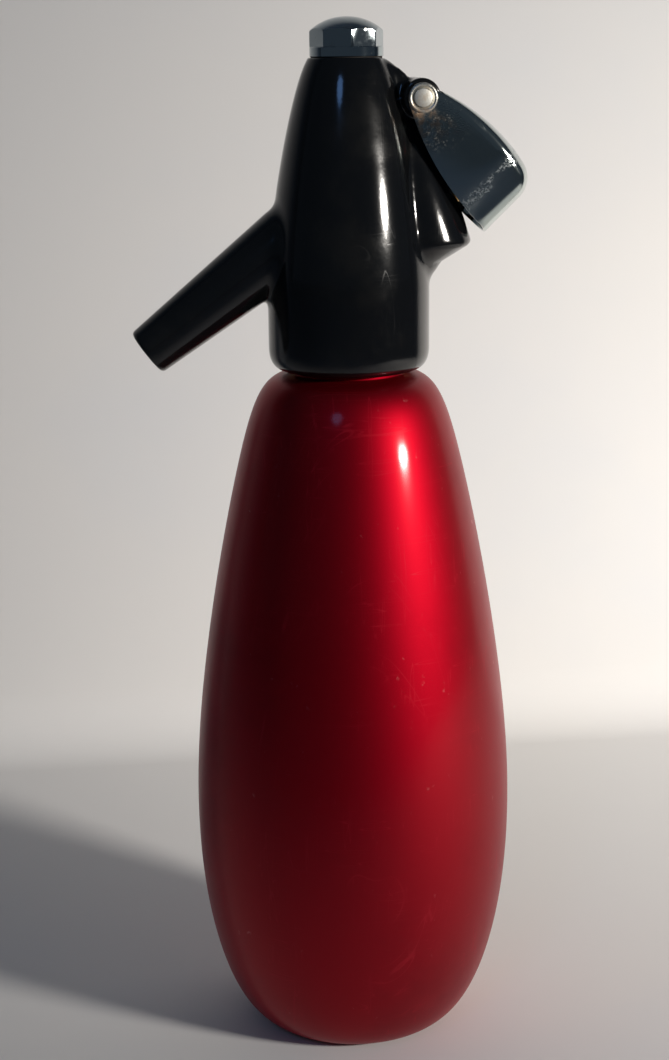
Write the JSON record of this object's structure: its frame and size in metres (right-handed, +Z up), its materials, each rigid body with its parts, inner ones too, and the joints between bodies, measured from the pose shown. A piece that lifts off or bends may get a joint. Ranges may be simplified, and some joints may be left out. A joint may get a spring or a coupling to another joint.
{
  "type": "soda siphon",
  "caption": "Tall rounded metal bottle with a black moulded head, a down-sloping spout on one side, a bowed squeeze lever on the other and a faceted cap over the gas charger.",
  "frame": {"origin": "centre of the base pad on the surface that the siphon stands on", "axes": "+Z up the bottle, -X the way the spout points, +X the lever side"},
  "size_m": [0.133, 0.1116, 0.3545],
  "materials": {
    "anodised_red": "deep red anodised, satin gloss",
    "base_rubber": "matt moulded",
    "head_plastic": "glossy moulding with fine scuffs",
    "brass": "turned",
    "seal_rubber": "matt",
    "cap_chrome": "polished plating",
    "fibre": "pressed fibre",
    "charger_steel": "plain drawn steel",
    "plain_steel": "turned, a little rusted",
    "tube_plastic": "milky white",
    "button_plastic": "moulded",
    "spring_steel": "drawn wire",
    "lever_chrome": "worn plating, pitted near the pin"
  },
  "bodies": {
    "bottle": {"bottle": "anodised_red", "base_pad": "base_rubber"},
    "head": {"head_body": "head_plastic", "neck_ring": "brass", "neck_gasket": "seal_rubber", "charger_sleeve": "brass", "piercer_body": "brass", "piercing_needle": "plain_steel", "charger_seal": "seal_rubber", "gas_nozzle": "brass", "check_sleeve": "seal_rubber", "siphon_tube": "tube_plastic", "tube_tip": "tube_plastic", "valve_barrel": "brass", "gland_nut": "brass", "stem_seal": "seal_rubber", "lever_pin": "plain_steel", "valve_spring": "spring_steel"},
    "cap": {"charger_cap": "cap_chrome", "cap_washer": "fibre"},
    "charger": {"co2_charger": "charger_steel"},
    "valve": {"valve_stem": "brass", "valve_washer": "seal_rubber", "washer_nut": "brass", "push_button": "button_plastic"},
    "lever": {"lever": "lever_chrome"}
  },
  "joints": [
    {"name": "head_lift", "type": "slide", "parent": "bottle", "child": "head", "axis": [0, 0, 1], "range_m": [0, 0.26]},
    {"name": "cap_lift", "type": "slide", "parent": "head", "child": "cap", "axis": [0, 0, 1], "range_m": [0, 0.11]},
    {"name": "charger_lift", "type": "slide", "parent": "head", "child": "charger", "axis": [0, 0, 1], "range_m": [0, 0.0825]},
    {"name": "lever_squeeze", "type": "hinge", "parent": "head", "child": "lever", "pos_m": [0.0233, 0, 0.3288], "axis": [0, 1, 0], "range_deg": [0, 4], "stiffness_Nm_per_rad": 1.9, "springref_deg": -3.72},
    {"name": "valve_stroke", "type": "slide", "parent": "head", "child": "valve", "axis": [-0.9272, 0, -0.3746], "range_m": [0, 0.00252], "deforming": ["valve_spring"]}
  ],
  "couplings": [
    {"joint": "charger_lift", "follows": "cap_lift", "ratio": 0.75},
    {"joint": "valve_stroke", "follows": "lever_squeeze", "m_per_rad": 0.0358}
  ]
}
